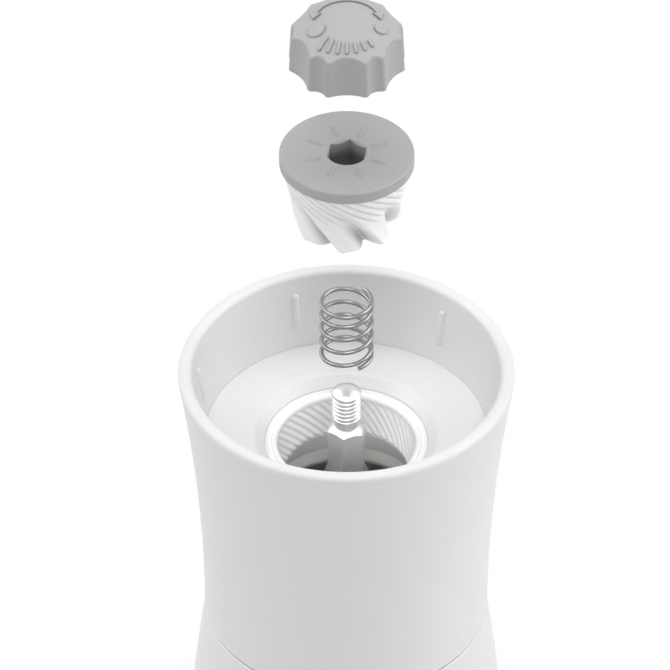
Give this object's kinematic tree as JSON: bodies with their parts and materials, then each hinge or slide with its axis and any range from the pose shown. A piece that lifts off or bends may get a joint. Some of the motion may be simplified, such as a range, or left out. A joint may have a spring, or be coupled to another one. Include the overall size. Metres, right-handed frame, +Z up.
{
  "type": "pepper mill",
  "caption": "Waisted two-part pepper mill with a ceramic grinder at the top, laid open: fluted knob, toothed rotor and coil spring stand in a stack over the mouth.",
  "frame": {"origin": "centre of the foot, on the surface that the mill stands on", "axes": "+Z up along the axis of the mill, -Y towards the viewer that sees the knob's dots at left and right"},
  "size_m": [0.069, 0.069, 0.229],
  "materials": {
    "shell_plastic": "satin white moulded plastic",
    "inner_plastic": "plain light moulded plastic",
    "bridge_plastic": "grey moulded plastic",
    "knob_plastic": "matte grey moulded plastic",
    "ceramic": "fired, unglazed, fine grained",
    "steel": "bright",
    "brass": "turned",
    "foot_rubber": "matte"
  },
  "bodies": {
    "base": {"foot_ring": "foot_rubber", "base_plate": "inner_plastic", "base_shell": "shell_plastic", "pepper_cup": "inner_plastic", "drive_bridge": "bridge_plastic", "bridge_screws": "steel", "coupling_ring": "inner_plastic", "neck_seal": "foot_rubber"},
    "shaft": {"drive_shaft": "steel", "hub_bush": "inner_plastic", "thrust_washer": "steel", "shaft_clip": "steel"},
    "housing": {"housing_shell": "shell_plastic", "mill_plate": "shell_plastic", "stator_ring": "ceramic", "bearing_spider": "bridge_plastic", "grain_funnel": "inner_plastic", "spider_screws": "steel", "turning_sleeve": "bridge_plastic"},
    "coil": {"spring": "steel"},
    "rotor": {"rotor_cone": "ceramic", "rotor_cap": "knob_plastic"},
    "insert": {"knob_insert": "brass"},
    "knob": {"knob": "knob_plastic"}
  },
  "joints": [
    {"name": "housing_lift", "type": "slide", "parent": "base", "child": "shaft", "axis": [0, 0, 1], "range_m": [0, 0.045]},
    {"name": "grind_turn", "type": "hinge", "parent": "shaft", "child": "housing", "pos_m": [0, 0, 0.1], "axis": [0, 0, 1], "continuous": true},
    {"name": "spring_lift", "type": "slide", "parent": "shaft", "child": "coil", "axis": [0, 0, 1], "range_m": [-0.0371, 0]},
    {"name": "rotor_lift", "type": "slide", "parent": "coil", "child": "rotor", "axis": [0, 0, 1], "range_m": [-0.033, 0], "deforming": ["spring"]},
    {"name": "knob_lift", "type": "slide", "parent": "rotor", "child": "insert", "axis": [0, 0, 1], "range_m": [-0.0216, 0]},
    {"name": "knob_turn", "type": "hinge", "parent": "insert", "child": "knob", "pos_m": [0, 0, 0.224], "axis": [0, 0, 1], "continuous": true}
  ]
}
